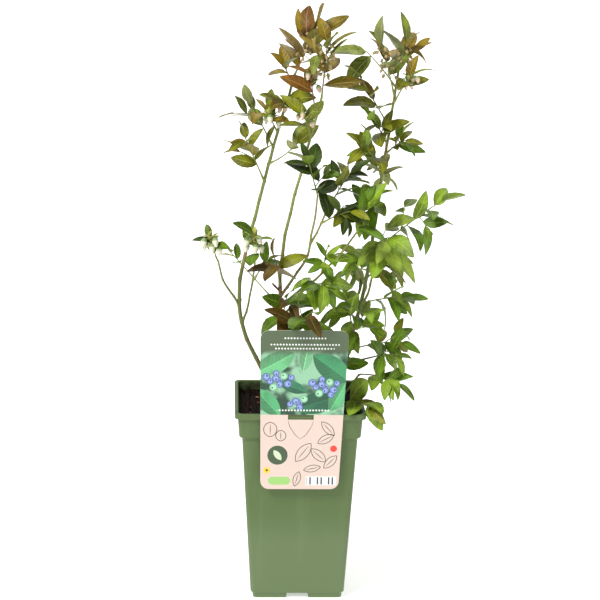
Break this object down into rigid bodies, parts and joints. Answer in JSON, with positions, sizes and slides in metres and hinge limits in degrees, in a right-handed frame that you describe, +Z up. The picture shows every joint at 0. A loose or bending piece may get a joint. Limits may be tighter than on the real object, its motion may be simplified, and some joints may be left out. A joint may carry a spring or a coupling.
{
  "type": "potted blueberry bush",
  "caption": "Young blueberry bush with bronze and green leaves and white bell flowers, in a square green nursery pot with a hang card.",
  "frame": {"origin": "centre of the pot's flat underside", "axes": "+Z up along the plant, +X to the right as the card is read, -Y towards the side the card hangs on"},
  "size_m": [0.2655, 0.1688, 0.5968],
  "materials": {
    "pot_plastic": "moulded satin green",
    "moist_peat": "dark moist peat with bark chips",
    "printed_card": "printed thin plastic card",
    "cane_bark": "smooth green young bark",
    "leaf_bronze": "satin leaf, bronze tint",
    "leaf_olive": "satin leaf, olive",
    "leaf_green": "satin leaf, fresh green"
  },
  "bodies": {
    "root": {"pot": "pot_plastic", "soil": "moist_peat", "card": "printed_card", "cane_left": "cane_bark", "cane_middle": "cane_bark", "cane_right": "cane_bark", "stem_low_right": "cane_bark", "stem_left_low": "cane_bark", "stem_left_front": "cane_bark", "fork_middle": "cane_bark", "bough_dark": "cane_bark", "bough_cross": "cane_bark", "stem_right_twin": "cane_bark", "bough_right_low": "cane_bark", "top_left": "leaf_bronze", "shoulder_left": "leaf_bronze", "spur_left_top": "leaf_bronze", "spur_left_mid": "leaf_olive", "twig_left_upper": "leaf_olive", "twig_left_lower": "leaf_olive", "twig_left_inner": "leaf_olive", "bells_far_left": "leaf_olive", "bells_front": "leaf_olive", "shoot_left_back": "leaf_olive", "top_middle": "leaf_bronze", "dark_upper_left": "leaf_olive", "upper_front": "leaf_olive", "fork_top": "leaf_olive", "dark_right": "leaf_green", "dark_low": "leaf_green", "bronze_low": "leaf_bronze", "cross_mid": "leaf_olive", "cross_top": "leaf_olive", "cross_low": "leaf_green", "middle_low": "leaf_green", "front_low_right": "leaf_green", "left_small": "leaf_olive", "front_over_card": "leaf_green", "top_right": "leaf_bronze", "top_right_left": "leaf_bronze", "top_right_out": "leaf_bronze", "bells_right_top": "leaf_bronze", "right_upper_left": "leaf_bronze", "right_upper_mid": "leaf_olive", "right_mid_left": "leaf_olive", "right_mid_right": "leaf_olive", "right_side": "leaf_olive", "right_centre": "leaf_olive", "right_big": "leaf_green", "far_right": "leaf_green", "right_arm": "leaf_green", "right_back": "leaf_olive", "twin_top": "leaf_green", "right_low_left": "leaf_green", "right_low_mid": "leaf_green", "right_low_arm": "leaf_green", "low_far_right": "leaf_green", "low_right_out": "leaf_green", "low_over_rim": "leaf_green", "back_right": "leaf_olive"}
  },
  "joints": []
}
